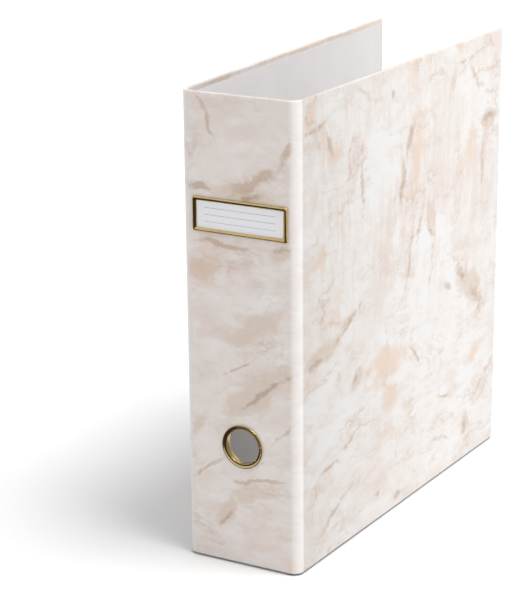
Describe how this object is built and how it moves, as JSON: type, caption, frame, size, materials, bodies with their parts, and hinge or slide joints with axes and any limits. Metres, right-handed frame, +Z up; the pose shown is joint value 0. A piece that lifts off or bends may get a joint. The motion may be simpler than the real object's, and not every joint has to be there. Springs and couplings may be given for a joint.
{
  "type": "lever arch file",
  "caption": "Upright lever arch file with marbled covers, brass finger ring and label frame, and a two-post lever arch mechanism that opens.",
  "frame": {"origin": "middle of the base of the object's box at rest, on the surface the file stands on", "axes": "+Z up, along the spine; -Y out of the spine's face; +X from the back cover to the front cover"},
  "size_m": [0.1002, 0.292, 0.318],
  "materials": {
    "marbled_paper": "laminated, marbled",
    "greyboard": "matt",
    "lining_paper": "matt",
    "label_card": "matt",
    "polished_brass": "polished",
    "nickel_plate": "bright nickel",
    "nylon": "satin"
  },
  "bodies": {
    "back_cover": {"back_wrap": "marbled_paper", "back_board": "greyboard", "back_lining": "lining_paper", "back_hinge_strip": "marbled_paper", "base_plate": "nickel_plate", "post_lower": "nickel_plate", "post_upper": "nickel_plate", "plate_rivet_1": "nickel_plate", "plate_rivet_2": "nickel_plate", "plate_rivet_3": "nickel_plate", "plate_rivet_4": "nickel_plate", "lever_pin": "nickel_plate"},
    "spine": {"spine_wrap": "marbled_paper", "spine_board": "greyboard", "spine_lining": "lining_paper", "front_hinge_strip": "marbled_paper", "label_frame": "polished_brass", "label_card": "label_card", "finger_ring": "polished_brass", "finger_ring_washer": "polished_brass"},
    "front_cover": {"front_wrap": "marbled_paper", "front_board": "greyboard", "front_lining": "lining_paper"},
    "arches": {"arch_wire": "nickel_plate"},
    "lever": {"lever": "nickel_plate", "roller_pin": "nickel_plate"},
    "roller": {"roller": "nylon"},
    "compressor": {"compressor_bar": "nickel_plate", "compressor_catch_pin": "nickel_plate"},
    "catch": {"compressor_catch": "nickel_plate"}
  },
  "joints": [
    {"name": "spine_hinge", "type": "hinge", "parent": "back_cover", "child": "spine", "pos_m": [-0.04745, -0.1425, 0.159], "axis": [0, 0, -1], "range_deg": [0, 90], "deforming": ["back_hinge_strip"]},
    {"name": "front_cover_hinge", "type": "hinge", "parent": "spine", "child": "front_cover", "pos_m": [0.03355, -0.1425, 0.159], "axis": [0, 0, -1], "range_deg": [-3, 87], "deforming": ["front_hinge_strip"]},
    {"name": "lever_hinge", "type": "hinge", "parent": "back_cover", "child": "lever", "pos_m": [-0.03941, -0.0915, 0.182], "axis": [0, -1, 0], "range_deg": [0, 70]},
    {"name": "arch_hinge", "type": "hinge", "parent": "back_cover", "child": "arches", "pos_m": [-0.04095, -0.113, 0.159], "axis": [0, 0, -1], "range_deg": [0, 31]},
    {"name": "roller_spin", "type": "hinge", "parent": "lever", "child": "roller", "pos_m": [-0.04057, -0.1042, 0.17765], "axis": [0, 1, 0], "continuous": true},
    {"name": "compressor_slide", "type": "slide", "parent": "back_cover", "child": "compressor", "axis": [1, 0, 0], "range_m": [0, 0.03]},
    {"name": "catch_hinge", "type": "hinge", "parent": "compressor", "child": "catch", "pos_m": [-0.03945, -0.0735, 0.199], "axis": [0, 0, -1], "range_deg": [0, 40]}
  ],
  "couplings": [
    {"joint": "arch_hinge", "follows": "lever_hinge", "ratio": 0.44286}
  ]
}
